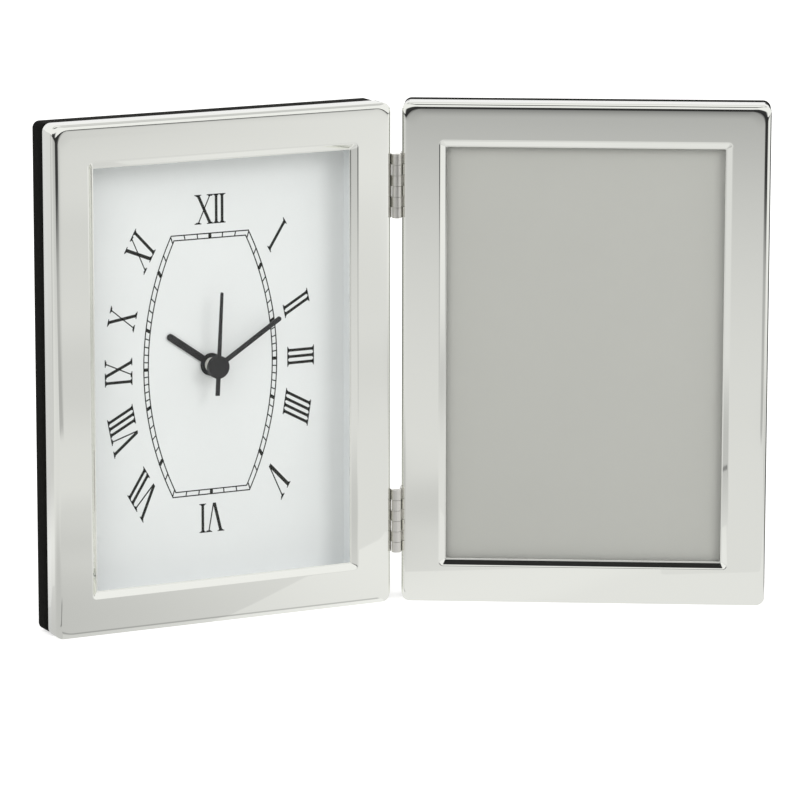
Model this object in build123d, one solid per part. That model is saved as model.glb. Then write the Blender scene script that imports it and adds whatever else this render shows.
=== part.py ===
from build123d import *
import math
import os

# A folding desk frame: a battery clock in the left leaf and a picture in the right leaf.
# Each leaf is a stamped metal shell over a velvet-covered case, and two butt hinges join the leaves.
# Millimetres. +Z is up, the dial faces -Y, and the origin is the middle of the clock leaf's foot.
# A leaf is drawn about the centre of its front face: X is width, Z is height, Y is depth behind the face.

os.makedirs("parts", exist_ok=True)

# Picture format, and the part of the picture that the window hides at each edge
print_width = 101.6
print_height = 152.4
side_overlap = 2.3
end_overlap = 2.7

# Shell of a leaf, the same on both sides
face_margin = 15.7
shell_depth = 8.0
sheet = 0.5
face_corner_radius = 7.0
rim_corner_radius = 3.0
face_edge_radius = 1.8
window_lip = 0.45
window_corner_radius = 0.35
bevel_width = 1.9
bevel_depth = 1.4
bevel_corner_radius = 1.6

# Clearances
slip = 0.05
running_gap = 0.05
press_gap = 0.01
overrun = 1.0

# Layers behind each window
print_play = 1.4
recess_height_play = 0.2
recess_corner_radius = 1.3
surround_wall = 0.8
glass_thickness = 2.0
dial_depth = 13.0
dial_thickness = 0.8
card_thickness = 0.35
clock_case_back = 18.0
photo_case_back = 14.5
photo_board_thickness = 4.0
board_ledge_share = 0.39
board_corner_radius = 2.0
case_edge_radius = 1.0

# Back board screws of the clock leaf
screw_head_radius = 1.7
screw_head_depth = 0.9
screw_radius = 1.0
screw_length = 7.0
screw_row_share = 0.84

# Butt hinges
barrel_radius = 1.65
hinge_pin_radius = 0.8
hinge_length = 22.6
hinge_offset = 59.8
hinge_axis_front = 0.4
knuckle_count = 6
knuckle_gap = 0.12
hinge_plate = 0.6
hinge_plate_front = 1.5
hinge_plate_back = 7.2
opening_angle = 150.0
rivet_radius = 0.7
rivet_head_radius = 1.1
rivet_head = 0.35
rivet_length = 4.0
rivet_pitch = 13.0

# Turn buttons of the photo leaf
button_offset = 48.0
button_half_width = 3.0
button_reach = 10.0
button_thickness = 0.6
button_pin_radius = 1.0
button_pin_length = 6.0
button_head_radius = 2.0
button_head = 0.6

# Hands
hour_hand_depth = 12.3
minute_hand_depth = 7.0
second_hand_depth = 6.0
hand_thickness = 0.4
second_hand_thickness = 0.5
hub_radius = 4.0
hour_hand_length = 20.1
hour_hand_width = 2.5
minute_hand_length = 28.8
minute_hand_width = 1.7
second_hand_length = 26.3
second_hand_root = 1.45
second_hand_tip = 1.0
second_hand_tail = 10.0
second_hand_tail_width = 1.5
hour_hand_angle = 304.8
minute_hand_angle = 57.6
second_hand_angle = 3.0

# Movement housing, whose levels are depths behind its own front
movement_depth = 16.0
movement_corner_radius = 3.0
housing_wall = 1.2
washer_thickness = 0.5
washer_radius = 7.5
bushing_radius = 3.7
bushing_proud = 0.05
nut_across_flats = 11.0
nut_thickness = 2.0
nut_recess_radius = 7.0
nut_play = 0.2
cover_thickness = 1.4
boss_radius = 1.6
boss_length = 2.3
bearing_depth = 1.9
bearing_seat = 0.6
pillar_radius = 1.5
bay_height = 15.4

# Gear train, as seen from the front of the dial
arbor_spread = 8.4
third_spread = 10.8
step_spread = 8.96
rotor_spread = 7.2
motion_angle = 180.0
third_angle = 20.0
intermediate_angle = 120.0
rotor_angle = 150.0
knob_angle = 150.0
cannon_teeth = 12
motion_teeth = 36
motion_pinion_teeth = 10
hour_teeth = 40
centre_teeth = 64
third_pinion_teeth = 8
third_teeth = 60
second_pinion_teeth = 8
second_teeth = 48
intermediate_pinion_teeth = 8
intermediate_teeth = 40
rotor_teeth = 8
knob_teeth = 18
addendum_share = 0.62
dedendum_share = 1.0
tooth_fill_share = 0.72
tooth_tip_share = 0.5
tooth_root_share = 1.25
wheel_thickness = 0.7
pinion_overlap = 0.1
hour_tube_radius = 2.55
minute_tube_radius = 1.6
second_arbor_radius = 0.6
arbor_radius = 0.5
rotor_arbor_radius = 0.4
motion_post_radius = 0.8
hour_level = 1.35
hour_wheel_thickness = 1.2
hour_tube_end_depth = 8.0
motion_level = 3.0
cannon_level = 2.8
centre_level = 4.3
centre_tube_level = 5.6
third_pinion_level = 4.2
third_level = 5.9
plate_level = 6.9
plate_thickness = 0.5
plate_half_width = 19.5
plate_low = 8.3
plate_high = 16.0
plate_pillar_x = 17.5
plate_pillar_low = 6.5
plate_pillar_high = 14.0
intermediate_level = 9.9
intermediate_pinion_end = 12.0
second_level = 11.0
rotor_pinion_level = 9.7
rotor_pinion_end = 10.9
rotor_magnet_radius = 3.0
rotor_magnet_thickness = 1.9
arbor_end_level = 14.0

# Setting stem and knob
stem_radius = 1.3
knob_radius = 6.0
knob_height = 2.8
knob_flutes = 20
knob_flute_radius = 0.55

# Coil, core and stator
stator_thickness = 1.0
stator_left = 17.5
stator_right = 16.0
stator_low = 9.9
stator_high = 13.9
stator_leg_width = 3.5
stator_leg_top = 24.0
stator_eye_radius = 5.2
stator_air_gap = 0.6
core_width = 3.0
coil_height = 21.6
coil_half_length = 10.5
coil_flange_radius = 4.4
coil_flange = 0.8
coil_radius = 4.0
coil_tube_radius = 2.4
coil_post_radius = 1.7

# Circuit board, chip and crystal
board_x = 23.4
circuit_width = 5.6
circuit_low = 6.0
circuit_high = 24.0
circuit_level = 8.0
circuit_thickness = 0.8
circuit_post_low = 3.0
circuit_post_high = 20.0
chip_height_place = 6.0
chip_radius = 2.4
chip_thickness = 1.0
crystal_place = 14.0
crystal_radius = 1.0
crystal_length = 6.0

# Battery and contacts
battery_radius = 7.1
battery_length = 49.0
battery_nub_radius = 2.75
battery_nub = 1.3
battery_play = 0.1
spring_room = 2.9
contact_thickness = 0.4
contact_width = 9.0
contact_bump_radius = 3.2
runner_width = 3.0
runner_level = 10.2

# Widths and heights that follow from the picture and the battery
window_width = print_width - 2 * side_overlap
window_height = print_height - 2 * end_overlap
leaf_width = window_width + 2 * face_margin
leaf_height = window_height + 2 * face_margin
battery_room = battery_length + battery_nub + contact_thickness + spring_room
movement_size = battery_room + 2 * housing_wall

# Depths and layers that follow from the shell
bevel_back = bevel_depth + sheet
glass_front = bevel_back + slip
glass_back = glass_front + glass_thickness
recess_width = print_width + print_play
recess_height = print_height + recess_height_play
opening_width = recess_width + 2 * (surround_wall + slip)
opening_height = recess_height + 2 * (surround_wall + slip)
opening_corner_radius = recess_corner_radius + surround_wall + slip
case_inset = sheet + slip
case_width = leaf_width - 2 * case_inset
board_ledge = board_ledge_share * (case_width - opening_width) / 2
seat_width = opening_width + 2 * board_ledge
seat_height = opening_height + 2 * board_ledge
clock_board_front = dial_depth + dial_thickness
photo_board_front = photo_case_back - photo_board_thickness
movement_front = clock_case_back + washer_thickness

# Places that follow from the leaf
foot_centre = (face_edge_radius + shell_depth) / 2
hinge_x = leaf_width / 2 + barrel_radius
mid_height = leaf_height / 2
swing_angle = 180.0 - opening_angle

# Gear modules and arbor places, worked out from the spreads
cannon_module = 2 * arbor_spread / (cannon_teeth + motion_teeth)
hour_module = 2 * arbor_spread / (motion_pinion_teeth + hour_teeth)
centre_module = 2 * third_spread / (centre_teeth + third_pinion_teeth)
third_module = 2 * third_spread / (third_teeth + second_pinion_teeth)
second_module = 2 * step_spread / (second_teeth + intermediate_pinion_teeth)
rotor_module = 2 * rotor_spread / (intermediate_teeth + rotor_teeth)
knob_spread = cannon_module * (motion_teeth + knob_teeth) / 2


def polar(start, distance, angle):
    """Point at a distance and angle from a start point, in the plane of the dial."""
    across = distance * math.cos(math.radians(angle))
    up = distance * math.sin(math.radians(angle))
    return (start[0] + across, start[1] + up)


centre = (0, 0)
motion_place = polar(centre, arbor_spread, motion_angle)
third_place = polar(centre, third_spread, third_angle)
intermediate_place = polar(centre, step_spread, intermediate_angle)
rotor_place = polar(intermediate_place, rotor_spread, rotor_angle)
knob_place = polar(motion_place, knob_spread, knob_angle)


def plate(outline, front, back):
    """Solid between two depths behind the front face, from an outline in width and height."""
    return extrude(Plane.XZ.offset(-front) * outline, amount=front - back)


def block(left, right, low, high, front, back):
    """Box between two widths, two heights and two depths."""
    outline = Pos((left + right) / 2, (low + high) / 2) * Rectangle(right - left, high - low)
    return plate(outline, front, back)


def disc(place, radius, front, back):
    """Round solid with its axis along the depth."""
    return plate(Pos(*place) * Circle(radius), front, back)


def cross_pin(radius, left, right, depth, height):
    """Round solid with its axis along the width."""
    return extrude(Plane.YZ.offset(left) * Pos(depth, height) * Circle(radius), amount=right - left)


def corner_radius(depth):
    """Corner radius of a leaf, which is large at the face and small at the rim."""
    return face_corner_radius + (rim_corner_radius - face_corner_radius) * depth / shell_depth


def leaf_outline(inset, radius):
    return RectangleRounded(leaf_width - 2 * inset, leaf_height - 2 * inset, radius)


def window_outline(outset, radius):
    return RectangleRounded(window_width + 2 * outset, window_height + 2 * outset, radius)


def opening_outline(inset):
    radius = opening_corner_radius - inset
    return RectangleRounded(opening_width - 2 * inset, opening_height - 2 * inset, radius)


def seat_outline(inset):
    radius = board_corner_radius - inset
    return RectangleRounded(seat_width - 2 * inset, seat_height - 2 * inset, radius)


def pressed_block(inset):
    """Body of the pressed shell: corners that tighten towards the rim and a rounded front edge."""
    rim = Plane.XZ.offset(-shell_depth) * leaf_outline(inset, rim_corner_radius - inset)
    face = Plane.XZ.offset(-inset) * leaf_outline(inset, face_corner_radius - inset)
    corners = loft([rim, face], ruled=True)
    across = leaf_width / 2 - inset
    up = leaf_height / 2 - inset
    middle = leaf_width / 2 - face_corner_radius
    rise = leaf_height / 2 - face_corner_radius
    corners -= block(-middle, middle, -leaf_height, leaf_height, 0, leaf_width)
    corners -= block(-leaf_width, leaf_width, -rise, rise, 0, leaf_width)
    body = block(-middle, middle, -up, up, inset, shell_depth)
    body += block(-across, across, -rise, rise, inset, shell_depth)
    body += corners
    front_face = body.faces().sort_by(Axis.Y)[0]
    return fillet(front_face.edges(), face_edge_radius - inset)


def dish(front_outset, front_radius, back_outset, back_radius, back):
    """Four-sided funnel of the window's bevel."""
    front_frame = Plane.XZ * window_outline(front_outset, front_radius)
    back_frame = Plane.XZ.offset(-back) * window_outline(back_outset, back_radius)
    return loft([front_frame, back_frame], ruled=True)


def hinge_heights():
    return [-hinge_offset, hinge_offset]


def rivet_heights():
    return [middle + end * rivet_pitch / 2 for middle in hinge_heights() for end in (-1, 1)]


def rivet_depth():
    return (hinge_plate_front + hinge_plate_back) / 2


def hinge_side_pin(side, radius, near, far, height):
    """Cross pin on the hinge side of a leaf, between two distances from the hinge's axis."""
    first = side * (hinge_x - near)
    second = side * (hinge_x - far)
    return cross_pin(radius, min(first, second), max(first, second), rivet_depth(), height)


def group(pieces):
    """Separate solids of one node."""
    return Part() + pieces


def shell(side):
    """Stamped sheet shell, open at the back, with a bevelled window and a narrow lip."""
    cavity = pressed_block(sheet)
    cavity += plate(leaf_outline(sheet, rim_corner_radius - sheet), shell_depth, shell_depth + overrun)
    bevel_outset = window_lip + bevel_width
    slope_shift = sheet * math.hypot(bevel_width, bevel_depth) / bevel_depth
    front_outset = bevel_outset + slope_shift
    front_radius = bevel_corner_radius + slope_shift
    back_outset = front_outset - bevel_back * bevel_width / bevel_depth
    metal = pressed_block(0) - cavity
    metal += dish(front_outset, front_radius, back_outset, window_corner_radius, bevel_back)
    metal -= dish(bevel_outset, bevel_corner_radius, window_lip, window_corner_radius, bevel_depth)
    metal -= plate(window_outline(0, window_corner_radius), 0, bevel_back + overrun)
    for height in rivet_heights():
        near = barrel_radius - overrun
        metal -= hinge_side_pin(side, rivet_radius + running_gap, near, barrel_radius + overrun, height)
    return metal


def case(side, back, board_front):
    """Velvet-covered case that fills the shell, with an opening and a seat for the back board."""
    front_section = Plane.XZ.offset(-glass_front) * leaf_outline(case_inset, corner_radius(glass_front))
    rim_section = Plane.XZ.offset(-shell_depth) * leaf_outline(case_inset, rim_corner_radius)
    body = loft([front_section, rim_section], ruled=True)
    body += plate(leaf_outline(case_inset, rim_corner_radius), shell_depth, back)
    back_face = body.faces().sort_by(Axis.Y)[-1]
    body = fillet(back_face.edges(), case_edge_radius)
    body -= plate(opening_outline(0), glass_front - overrun, back + overrun)
    body -= plate(seat_outline(0), board_front, back + overrun)
    far = barrel_radius + rivet_length + running_gap
    for height in rivet_heights():
        body -= hinge_side_pin(side, rivet_radius + running_gap, barrel_radius, far, height)
    return body


def glass():
    return plate(opening_outline(slip), glass_front, glass_back)


def screw_places():
    """Three screws down each long side of the clock's back board."""
    x = (seat_width - board_ledge) / 2
    rise = screw_row_share * seat_height / 2
    return [(side * x, step * rise) for side in (-1, 1) for step in (-1, 0, 1)]


def screw(place, growth):
    """Countersunk screw, flush with the back board and screwed into the case's ledge."""
    neck = Pos(*place) * Circle(screw_radius + growth)
    top = Pos(*place) * Circle(screw_head_radius + growth)
    head_depth = clock_case_back - screw_head_depth
    head = loft([Plane.XZ.offset(-head_depth) * neck, Plane.XZ.offset(-clock_case_back) * top])
    end = clock_case_back - screw_length - growth
    return head + disc(place, screw_radius + growth, end, head_depth)


def clock_case():
    body = case(1, clock_case_back, clock_board_front)
    for place in screw_places():
        body -= screw(place, running_gap)
    return body


def dial_surround():
    """Light wall between the glass and the dial."""
    inner = RectangleRounded(recess_width, recess_height, recess_corner_radius)
    return plate(opening_outline(slip) - inner, glass_back + slip, dial_depth)


def dial_card():
    hole = Circle(bushing_radius + running_gap)
    return plate(opening_outline(slip) - hole, dial_depth, clock_board_front)


def clock_back_board():
    """Velvet-backed board with a sunk seat for the movement's nut."""
    body = plate(seat_outline(slip), clock_board_front, clock_case_back)
    recess_end = clock_board_front + nut_thickness + nut_play
    body -= disc(centre, nut_recess_radius, clock_board_front - overrun, recess_end)
    body -= disc(centre, bushing_radius + running_gap, dial_depth, clock_case_back + overrun)
    for place in screw_places():
        body -= screw(place, running_gap)
    return body


def clock_back_screws():
    return group([screw(place, 0) for place in screw_places()])


def knuckle_spans(turn):
    """Heights of every other knuckle, counted from the bottom of a hinge."""
    step = hinge_length / knuckle_count
    spans = []
    for index in range(turn, knuckle_count, 2):
        low = index * step - hinge_length / 2
        spans.append((low + knuckle_gap / 2, low + step - knuckle_gap / 2))
    return spans


def hinge_leaf(side, middle, turn):
    """Hinge leaf: a plate on the shell's side with knuckles rolled round the pin."""
    wall = side * (hinge_x - barrel_radius)
    outer = side * (hinge_x - barrel_radius + hinge_plate)
    left = min(wall, outer)
    right = max(wall, outer)
    low = middle - hinge_length / 2
    body = block(left, right, low, low + hinge_length, hinge_plate_front, hinge_plate_back)
    for start, end in knuckle_spans(turn):
        body += block(left, right, middle + start, middle + end, -hinge_axis_front, hinge_plate_front)
        barrel = Pos(side * hinge_x, -hinge_axis_front, middle + start) * Circle(barrel_radius)
        body += extrude(barrel, amount=end - start)
    bore = Pos(side * hinge_x, -hinge_axis_front, low - overrun) * Circle(hinge_pin_radius + running_gap)
    body -= extrude(bore, amount=hinge_length + 2 * overrun)
    for height in rivet_heights():
        body -= cross_pin(rivet_radius + running_gap, left - overrun, right + overrun, rivet_depth(), height)
    return body


def hinge_pin(middle):
    low = middle - hinge_length / 2
    return extrude(Pos(hinge_x, -hinge_axis_front, low) * Circle(hinge_pin_radius), amount=hinge_length)


def hinge_rivets(side):
    """Rivets through the hinge leaves and the shell's side into the case."""
    plate_face = barrel_radius - hinge_plate
    rivets = []
    for height in rivet_heights():
        shank = hinge_side_pin(side, rivet_radius, plate_face, barrel_radius + rivet_length, height)
        head = hinge_side_pin(side, rivet_head_radius, plate_face - rivet_head, plate_face, height)
        rivets.append(shank + head)
    return group(rivets)


def photo_card():
    return plate(Rectangle(print_width, print_height), glass_back + slip, glass_back + slip + card_thickness)


def filler_card():
    front = glass_back + 2 * slip + card_thickness
    return plate(opening_outline(slip), front, photo_board_front)


def photo_case():
    body = case(-1, photo_case_back, photo_board_front)
    end = photo_case_back - button_pin_length
    for place in button_places():
        body -= disc(place, button_pin_radius + running_gap, end, photo_case_back + overrun)
    return body


def photo_back_board():
    return plate(seat_outline(slip), photo_board_front, photo_case_back)


def button_places():
    """Turn button pins, in the middle of the case's back edge."""
    x = (seat_width + case_width) / 4
    return [(side * x, height) for height in (-button_offset, button_offset) for side in (-1, 1)]


def turn_button(place):
    """Flat swivelling bar that holds the back board in."""
    front = photo_case_back + slip
    inward = -math.copysign(button_reach - button_half_width, place[0])
    outline = Pos(*place) * Circle(button_half_width)
    outline += Pos(place[0] + inward, place[1]) * Circle(button_half_width)
    outline += Pos(place[0] + inward / 2, place[1]) * Rectangle(abs(inward), 2 * button_half_width)
    outline -= Pos(*place) * Circle(button_pin_radius + running_gap)
    return plate(outline, front, front + button_thickness)


def turn_button_rivets():
    end = photo_case_back - button_pin_length
    head_front = photo_case_back + 2 * slip + button_thickness
    rivets = []
    for place in button_places():
        shank = disc(place, button_pin_radius, end, head_front)
        rivets.append(shank + disc(place, button_head_radius, head_front, head_front + button_head))
    return group(rivets)


def gear_outline(teeth, module, phase):
    """Wheel outline with straight-sided teeth, one of them centred at the phase angle."""
    pitch_radius = teeth * module / 2
    tip_radius = pitch_radius + addendum_share * module
    root_radius = pitch_radius - dedendum_share * module
    half_tooth = tooth_fill_share * 90.0 / teeth
    tip_half = tooth_tip_share * half_tooth
    root_half = tooth_root_share * half_tooth
    points = []
    for index in range(teeth):
        middle = phase + index * 360.0 / teeth
        points.append(polar(centre, root_radius, middle - root_half))
        points.append(polar(centre, tip_radius, middle - tip_half))
        points.append(polar(centre, tip_radius, middle + tip_half))
        points.append(polar(centre, root_radius, middle + root_half))
    return make_face(Polyline(*points, close=True))


def meshed_phase(teeth, phase, other_teeth, angle):
    """Phase of a second wheel whose tooth gap meets the first wheel's tooth along the line of centres."""
    part = (angle - phase) * teeth / 360.0
    part -= math.floor(part)
    return angle + 180.0 + (part + 1 / 2) * 360.0 / other_teeth


def level(value):
    """Depth behind the front face of a level inside the movement."""
    return movement_front + value


def gear(teeth, module, phase, place, low, high):
    return plate(Pos(*place) * gear_outline(teeth, module, phase), level(low), level(high))


def hour_wheel():
    """Hour wheel with the long tube that carries the hour hand."""
    phase = meshed_phase(motion_pinion_teeth, motion_angle + 180.0, hour_teeth, motion_angle + 180.0)
    body = gear(hour_teeth, hour_module, phase, centre, hour_level, hour_level + hour_wheel_thickness)
    body += disc(centre, hour_tube_radius, hour_tube_end_depth, level(hour_level))
    bore_end = level(hour_level + hour_wheel_thickness) + overrun
    return body - disc(centre, minute_tube_radius + 2 * running_gap, hour_tube_end_depth - overrun, bore_end)


def centre_wheel():
    """Centre wheel, cannon pinion and the tube that carries the minute hand."""
    end = centre_level + wheel_thickness
    body = gear(centre_teeth, centre_module, third_angle, centre, centre_level, end)
    body += gear(cannon_teeth, cannon_module, motion_angle, centre, cannon_level, centre_level)
    body += disc(centre, minute_tube_radius, minute_hand_depth, level(centre_tube_level))
    bore = disc(centre, second_arbor_radius + 2 * running_gap, 0, level(centre_tube_level) + overrun)
    return body - bore


def motion_wheel():
    """Motion wheel and its pinion, running on a post of the housing."""
    phase = meshed_phase(cannon_teeth, motion_angle, motion_teeth, motion_angle)
    end = motion_level + wheel_thickness
    body = gear(motion_teeth, cannon_module, phase, motion_place, motion_level, end)
    pinion_phase = motion_angle + 180.0
    body += gear(motion_pinion_teeth, hour_module, pinion_phase, motion_place, hour_level, motion_level)
    return body - disc(motion_place, motion_post_radius + running_gap, level(0), level(end) + overrun)


def third_wheel():
    phase = meshed_phase(centre_teeth, third_angle, third_pinion_teeth, third_angle)
    low = housing_wall - bearing_seat + running_gap
    body = disc(third_place, arbor_radius, level(low), level(plate_level + plate_thickness - running_gap))
    body += gear(third_pinion_teeth, centre_module, phase, third_place, third_pinion_level, third_level)
    wheel_phase = third_angle + 180.0
    end = third_level + wheel_thickness
    body += gear(third_teeth, third_module, wheel_phase, third_place, third_level, end)
    return body


def second_wheel():
    """Seconds wheel on the long arbor that carries the second hand."""
    pinion_phase = meshed_phase(third_teeth, third_angle + 180.0, second_pinion_teeth, third_angle + 180.0)
    pinion_low = third_level - pinion_overlap
    pinion_high = third_level + wheel_thickness + pinion_overlap
    hand_end = second_hand_depth + second_hand_thickness / 2
    body = disc(centre, second_arbor_radius, hand_end, level(arbor_end_level))
    body += gear(second_pinion_teeth, third_module, pinion_phase, centre, pinion_low, pinion_high)
    end = second_level + wheel_thickness
    body += gear(second_teeth, second_module, intermediate_angle, centre, second_level, end)
    return body


def intermediate_wheel():
    phase = meshed_phase(second_teeth, intermediate_angle, intermediate_pinion_teeth, intermediate_angle)
    place = intermediate_place
    end = intermediate_level + wheel_thickness
    body = disc(place, arbor_radius, level(plate_level + running_gap), level(arbor_end_level))
    body += gear(intermediate_pinion_teeth, second_module, phase, place, end, intermediate_pinion_end)
    body += gear(intermediate_teeth, rotor_module, rotor_angle, place, intermediate_level, end)
    return body


def rotor():
    """Magnet rotor with its pinion."""
    phase = meshed_phase(intermediate_teeth, rotor_angle, rotor_teeth, rotor_angle)
    magnet_low = plate_level + plate_thickness + running_gap
    body = disc(rotor_place, rotor_arbor_radius, level(plate_level + running_gap), level(arbor_end_level))
    magnet_high = magnet_low + rotor_magnet_thickness
    body += disc(rotor_place, rotor_magnet_radius, level(magnet_low), level(magnet_high))
    body += gear(rotor_teeth, rotor_module, phase, rotor_place, rotor_pinion_level, rotor_pinion_end)
    return body


def hand_blade(length, width):
    straight = length - width / 2
    blade = Pos(0, straight / 2) * Rectangle(width, straight)
    return blade + Pos(0, straight) * Circle(width / 2)


def hour_hand():
    outline = Circle(hub_radius) + hand_blade(hour_hand_length, hour_hand_width)
    outline -= Circle(hour_tube_radius + press_gap)
    turned = Rot(0, 0, -hour_hand_angle) * outline
    return plate(turned, hour_hand_depth, hour_hand_depth + hand_thickness)


def minute_hand():
    outline = Circle(hub_radius) + hand_blade(minute_hand_length, minute_hand_width)
    outline -= Circle(minute_tube_radius + press_gap)
    turned = Rot(0, 0, -minute_hand_angle) * outline
    return plate(turned, minute_hand_depth, minute_hand_depth + hand_thickness)


def second_hand():
    """Second hand with a tapered blade, a square tail and a blind socket for its arbor."""
    straight = second_hand_length - second_hand_tip / 2
    half_root = second_hand_root / 2
    half_tip = second_hand_tip / 2
    corners = [(-half_root, 0), (-half_tip, straight), (half_tip, straight), (half_root, 0)]
    outline = Circle(hub_radius) + make_face(Polyline(*corners, close=True))
    outline += Pos(0, straight) * Circle(half_tip)
    outline += Pos(0, -second_hand_tail / 2) * Rectangle(second_hand_tail_width, second_hand_tail)
    back = second_hand_depth + second_hand_thickness
    body = plate(Rot(0, 0, -second_hand_angle) * outline, second_hand_depth, back)
    socket_end = second_hand_depth + second_hand_thickness / 2
    return body - disc(centre, second_arbor_radius + press_gap, socket_end, back + overrun)


def nut():
    outline = RegularPolygon(nut_across_flats / 2, 6, major_radius=False)
    outline -= Circle(bushing_radius + running_gap)
    front = clock_board_front + nut_play
    return plate(outline, front, front + nut_thickness)


def washer():
    outline = Circle(washer_radius) - Circle(bushing_radius + running_gap)
    return plate(outline, clock_case_back, movement_front)


def movement_outline(inset):
    side = movement_size - 2 * inset
    return RectangleRounded(side, side, movement_corner_radius - inset)


def bay_top():
    return bay_height + housing_wall - movement_size / 2


def pillar_places():
    heights = (-plate_pillar_low, plate_pillar_high)
    return [(side * plate_pillar_x, height) for side in (-1, 1) for height in heights]


def coil_post_places():
    height = coil_height
    return [(-stator_left + stator_leg_width / 2, height), (stator_right - stator_leg_width / 2, height)]


def circuit_post_places():
    return [(board_x, -circuit_post_low), (board_x, circuit_post_high)]


def movement_case():
    """Moulded housing: gear space above, open battery bay below, threaded bushing in front."""
    half = movement_size / 2
    inner = half - housing_wall
    body = plate(movement_outline(0), level(0), level(movement_depth))
    partition = bay_top() + housing_wall
    floor = level(housing_wall)
    back = level(movement_depth) + overrun
    cover_front = level(movement_depth - cover_thickness)
    body -= block(-inner, inner, partition, inner, floor, back)
    body -= block(-inner, inner, -inner, bay_top(), floor, back)
    body -= block(-half, half, bay_top(), half + overrun, cover_front, back)
    notch_left = board_x - circuit_width / 2
    notch_low = bay_top() - overrun
    body -= block(notch_left, inner, notch_low, partition + overrun, level(runner_level), cover_front)
    body += disc(centre, bushing_radius, dial_depth - bushing_proud, level(0))
    body -= disc(centre, hour_tube_radius + 2 * running_gap, 0, floor + overrun)
    for place in pillar_places():
        body += disc(place, pillar_radius, floor, level(plate_level))
    for place in coil_post_places():
        body += disc(place, coil_post_radius, floor, level(plate_level + plate_thickness))
    for place in circuit_post_places():
        body += disc(place, pillar_radius, floor, level(circuit_level))
    body += disc(motion_place, motion_post_radius, floor, level(motion_level + wheel_thickness))
    body -= disc(third_place, arbor_radius + running_gap, floor - bearing_seat, floor)
    return body


def movement_cover():
    """Rear cover over the gear space, with bearing bosses and a hole for the setting stem."""
    half = movement_size / 2
    front = movement_depth - cover_thickness
    half_plane = Pos(0, (bay_top() + half) / 2) * Rectangle(movement_size, half - bay_top())
    body = plate(movement_outline(0) & half_plane, level(front + slip), level(movement_depth))
    bearings = [
        (centre, second_arbor_radius),
        (intermediate_place, arbor_radius),
        (rotor_place, rotor_arbor_radius),
    ]
    boss_end = front - boss_length
    for place, radius in bearings:
        body += disc(place, boss_radius, level(boss_end), level(front + slip))
        body -= disc(place, radius + running_gap, level(boss_end), level(boss_end + bearing_depth))
    return body - disc(knob_place, stem_radius + running_gap, level(front), level(movement_depth) + overrun)


def train_bridge():
    """Plate in the middle of the movement, on four pillars."""
    low = plate_level
    high = plate_level + plate_thickness
    body = block(-plate_half_width, plate_half_width, -plate_low, plate_high, level(low), level(high))
    holes = [
        (centre, second_arbor_radius + 2 * running_gap),
        (third_place, arbor_radius + running_gap),
        (intermediate_place, arbor_radius + running_gap),
        (rotor_place, rotor_arbor_radius + running_gap),
        (knob_place, stem_radius + running_gap),
    ]
    for place, radius in holes:
        body -= disc(place, radius, level(low) - overrun, level(high) + overrun)
    return body


def setting_knob():
    """Fluted knob, stem and pinion that turn the hands."""
    motion_phase = meshed_phase(cannon_teeth, motion_angle, motion_teeth, motion_angle)
    phase = meshed_phase(motion_teeth, motion_phase, knob_teeth, knob_angle)
    low = motion_level - pinion_overlap
    high = motion_level + wheel_thickness + pinion_overlap
    knob_low = movement_depth + slip
    body = disc(knob_place, stem_radius, level(housing_wall + slip), level(knob_low))
    body += gear(knob_teeth, cannon_module, phase, knob_place, low, high)
    outline = Circle(knob_radius)
    outline -= PolarLocations(knob_radius, knob_flutes) * Circle(knob_flute_radius)
    body += plate(Pos(*knob_place) * outline, level(knob_low), level(knob_low + knob_height))
    return body


def stator():
    """Flat stator with an eye round the rotor and two legs up to the coil's core."""
    width = stator_right + stator_left
    outline = Pos((stator_right - stator_left) / 2, (stator_low + stator_high) / 2)
    outline = outline * Rectangle(width, stator_high - stator_low)
    leg_height = stator_leg_top - stator_low
    for x in (-stator_left + stator_leg_width / 2, stator_right - stator_leg_width / 2):
        outline += Pos(x, stator_low + leg_height / 2) * Rectangle(stator_leg_width, leg_height)
    outline += Pos(*rotor_place) * Circle(stator_eye_radius)
    outline -= Pos(*rotor_place) * Circle(rotor_magnet_radius + stator_air_gap)
    low = plate_level + plate_thickness
    return plate(outline, level(low), level(low + stator_thickness))


def core_level():
    return plate_level + plate_thickness + stator_thickness


def coil_core():
    low = coil_height - core_width / 2
    high = coil_height + core_width / 2
    front = level(core_level())
    return block(-stator_left, stator_right, low, high, front, front + stator_thickness)


def coil_spool(radius, left, right):
    depth = level(core_level() + stator_thickness / 2)
    return cross_pin(radius, left, right, depth, coil_height)


def coil_bobbin():
    """Bobbin with two flanges and a slot for the core."""
    half = coil_half_length
    body = coil_spool(coil_tube_radius, -half, half)
    body += coil_spool(coil_flange_radius, -half, -half + coil_flange)
    body += coil_spool(coil_flange_radius, half - coil_flange, half)
    low = coil_height - core_width / 2 - running_gap
    high = coil_height + core_width / 2 + running_gap
    front = level(core_level()) - running_gap
    back = level(core_level() + stator_thickness) + running_gap
    return body - block(-half - overrun, half + overrun, low, high, front, back)


def coil_winding():
    reach = coil_half_length - coil_flange
    body = coil_spool(coil_radius, -reach, reach)
    return body - coil_spool(coil_tube_radius, -reach - overrun, reach + overrun)


def circuit_board():
    left = board_x - circuit_width / 2
    right = board_x + circuit_width / 2
    front = level(circuit_level)
    return block(left, right, -circuit_low, circuit_high, front, front + circuit_thickness)


def chip():
    """Drop of black resin over the timing chip."""
    back = level(circuit_level + circuit_thickness)
    body = disc((board_x, chip_height_place), chip_radius, back, back + chip_thickness)
    return fillet(body.faces().sort_by(Axis.Y)[-1].edges(), chip_thickness / 2)


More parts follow.
